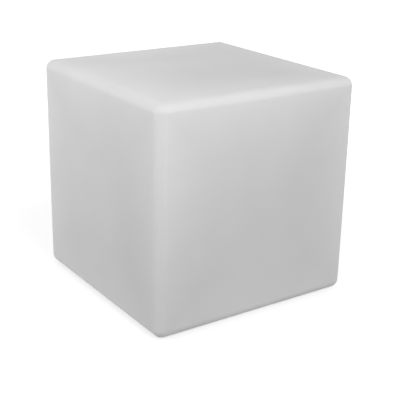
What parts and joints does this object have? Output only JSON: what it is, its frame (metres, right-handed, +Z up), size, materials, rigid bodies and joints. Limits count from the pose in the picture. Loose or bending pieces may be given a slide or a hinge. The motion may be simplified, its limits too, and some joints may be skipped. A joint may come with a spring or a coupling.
{
  "type": "led cube light",
  "caption": "Free-standing translucent white cube light with softly rounded edges and a battery light module screwed into a round opening in its base.",
  "frame": {"origin": "on the floor under the middle of the cube", "axes": "+Z up; the wide face of the picture looks along -Y and the narrow one along -X"},
  "size_m": [0.4, 0.4, 0.4],
  "materials": {
    "shell_plastic": "matte",
    "white_plastic": "satin",
    "black_plastic": "satin",
    "dome_plastic": "matte",
    "clear_plastic": "gloss",
    "silicone": "matte",
    "foot_rubber": "matte",
    "foam": "matte",
    "brass": "satin",
    "stainless": "satin",
    "nickel": "satin",
    "cell_sleeve": "gloss",
    "board_green": "satin",
    "chip_black": "matte",
    "coil_grey": "matte",
    "can_aluminium": "satin",
    "board_white": "satin",
    "led_resin": "gloss",
    "ir_black": "gloss",
    "lead_red": "satin",
    "lead_black": "satin",
    "cable_white": "satin"
  },
  "bodies": {
    "lamp": {"shell": "shell_plastic", "shell_inserts": "brass", "rubber_foot_1": "foot_rubber", "rubber_foot_2": "foot_rubber", "rubber_foot_3": "foot_rubber", "rubber_foot_4": "foot_rubber", "base_gasket": "silicone", "base_plate": "white_plastic", "base_screws": "stainless", "button_seal": "silicone", "switch_body": "black_plastic", "charge_socket": "black_plastic", "socket_pin": "nickel", "port_cover_anchor": "silicone", "status_led": "led_resin", "light_pipe": "clear_plastic", "control_board": "board_green", "board_standoffs": "brass", "board_screws": "stainless", "microcontroller": "chip_black", "charge_chip": "chip_black", "battery_connector": "board_white", "led_connector": "board_white", "driver_transistors": "chip_black", "inductor": "coil_grey", "capacitors": "can_aluminium", "battery_pad": "foam", "battery_holder": "black_plastic", "battery_cell_1": "cell_sleeve", "battery_cell_2": "cell_sleeve", "battery_contacts": "nickel", "battery_clamp": "stainless", "clamp_screws": "stainless", "battery_lead_red": "lead_red", "battery_lead_black": "lead_black", "led_cable": "cable_white", "housing_standoffs": "brass", "module_housing": "white_plastic", "housing_screws": "stainless", "heat_spreader": "can_aluminium", "led_board": "board_white", "leds": "led_resin", "led_board_screws": "stainless", "ir_receiver": "ir_black", "diffuser_dome": "dome_plastic"},
    "power_button": {"power_button": "silicone", "switch_plunger": "black_plastic"},
    "port_cover": {"port_cover": "silicone"}
  },
  "joints": [
    {"name": "power_button_press", "type": "slide", "parent": "lamp", "child": "power_button", "axis": [0, 0, 1], "range_m": [0, 0.0015], "stiffness_N_per_m": 1000, "springref_m": -0.0006},
    {"name": "port_cover_fold", "type": "hinge", "parent": "lamp", "child": "port_cover", "pos_m": [0.041, -0.016, 0.0077], "axis": [0, -1, 0], "range_deg": [0, 110]}
  ]
}
